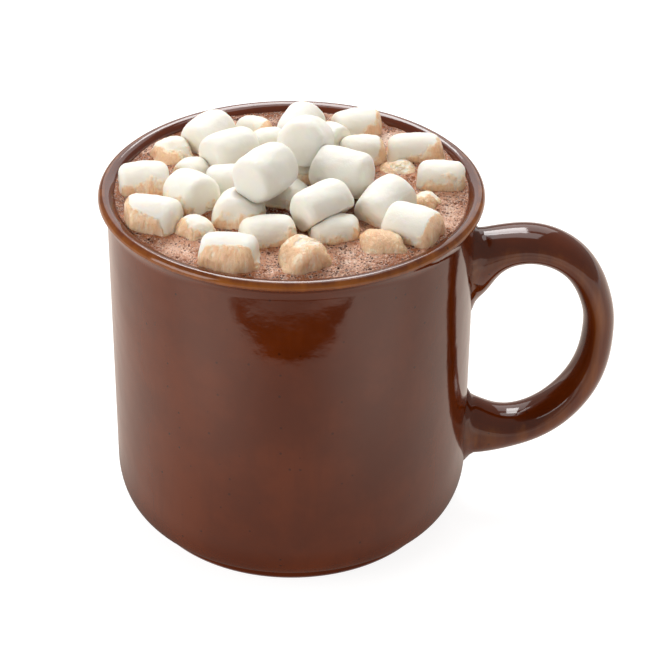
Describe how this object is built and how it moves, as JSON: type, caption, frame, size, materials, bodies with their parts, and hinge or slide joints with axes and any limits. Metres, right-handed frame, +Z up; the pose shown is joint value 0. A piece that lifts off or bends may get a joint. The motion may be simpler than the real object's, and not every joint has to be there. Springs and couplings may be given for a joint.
{
  "type": "hot chocolate",
  "caption": "Brown glazed mug with a bent handle, full of hot chocolate under a heap of small half-melted marshmallows.",
  "frame": {"origin": "centre of the mug's foot, on the surface that it stands on", "axes": "+Z up along the mug's axis, +X from the axis towards the handle, +Y across the handle"},
  "size_m": [0.1255, 0.092, 0.1041],
  "materials": {
    "glaze": "gloss",
    "drink": "satin",
    "marshmallow": "matte"
  },
  "bodies": {
    "root": {"drink": "drink", "marshmallow_01": "marshmallow", "marshmallow_02": "marshmallow", "marshmallow_03": "marshmallow", "marshmallow_04": "marshmallow", "marshmallow_05": "marshmallow", "marshmallow_06": "marshmallow", "marshmallow_07": "marshmallow", "marshmallow_08": "marshmallow", "marshmallow_09": "marshmallow", "marshmallow_10": "marshmallow", "marshmallow_11": "marshmallow", "marshmallow_12": "marshmallow", "marshmallow_13": "marshmallow", "marshmallow_14": "marshmallow", "marshmallow_15": "marshmallow", "marshmallow_16": "marshmallow", "marshmallow_17": "marshmallow", "marshmallow_18": "marshmallow", "marshmallow_19": "marshmallow", "marshmallow_20": "marshmallow", "marshmallow_21": "marshmallow", "marshmallow_22": "marshmallow", "marshmallow_23": "marshmallow", "marshmallow_24": "marshmallow", "marshmallow_25": "marshmallow", "marshmallow_26": "marshmallow", "marshmallow_27": "marshmallow", "marshmallow_28": "marshmallow", "marshmallow_29": "marshmallow", "marshmallow_30": "marshmallow", "marshmallow_31": "marshmallow", "marshmallow_32": "marshmallow", "marshmallow_33": "marshmallow", "marshmallow_34": "marshmallow", "marshmallow_35": "marshmallow", "mug": "glaze"}
  },
  "joints": []
}
